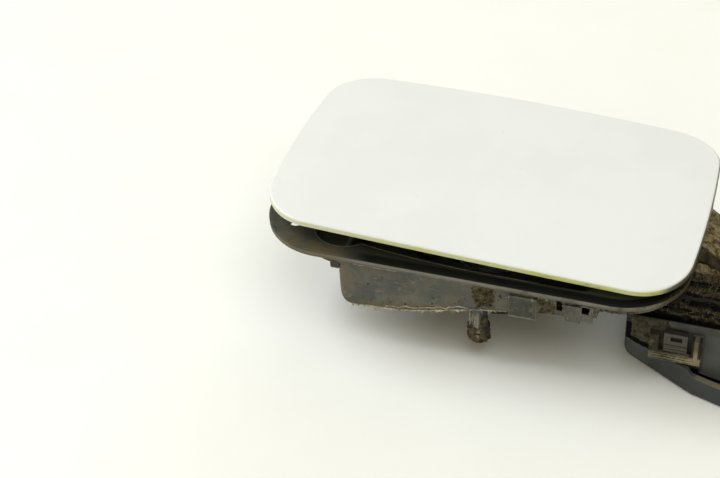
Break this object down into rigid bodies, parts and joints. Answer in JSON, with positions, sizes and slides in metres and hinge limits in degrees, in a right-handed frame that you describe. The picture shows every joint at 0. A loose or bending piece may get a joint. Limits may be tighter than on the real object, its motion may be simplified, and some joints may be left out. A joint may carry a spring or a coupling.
{
  "type": "car fuel door",
  "caption": "Painted fuel door ajar on a dark moulded filler housing, with goose-neck hinge, sliding lock bolt, filler boot and drain.",
  "frame": {"origin": "centre of the four flange screw holes, on the flange's seat on the car body", "axes": "+X along the door towards its hinge, +Y across the door, +Z out of the car body"},
  "size_m": [0.2323, 0.1246, 0.067],
  "materials": {
    "white_paint": "gloss",
    "inner_paint": "satin",
    "arm_nylon": "matte",
    "plated_steel": "satin",
    "spring_steel": "satin",
    "bolt_steel": "satin",
    "motor_steel": "satin",
    "bush_plastic": "matte",
    "housing_plastic": "matte, dusty",
    "cover_plastic": "matte",
    "lock_plastic": "matte",
    "boot_rubber": "matte"
  },
  "bodies": {
    "housing": {"housing": "housing_plastic", "hinge_cover": "cover_plastic", "hinge_pin": "plated_steel", "pin_retainers": "spring_steel", "hinge_spring": "spring_steel", "filler_boot": "boot_rubber", "boot_ring": "cover_plastic", "ring_screws": "plated_steel", "bump_stops": "boot_rubber", "lock_case": "lock_plastic", "lock_lid": "lock_plastic", "lock_motor": "motor_steel", "lock_screws": "plated_steel"},
    "door": {"door_skin": "white_paint", "door_inner": "inner_paint", "hinge_arm": "arm_nylon", "arm_screws": "plated_steel", "arm_bushes": "bush_plastic", "lock_striker": "plated_steel", "striker_rivets": "plated_steel"},
    "bolt": {"lock_bolt": "bolt_steel"}
  },
  "joints": [
    {"name": "door_hinge", "type": "hinge", "parent": "housing", "child": "door", "pos_m": [0.121, 0, -0.02], "axis": [0, 1, 0], "range_deg": [-2.4, 67.6], "deforming": ["hinge_spring"]},
    {"name": "bolt_slide", "type": "slide", "parent": "housing", "child": "bolt", "axis": [1, 0, 0], "range_m": [0, 0.008]}
  ]
}
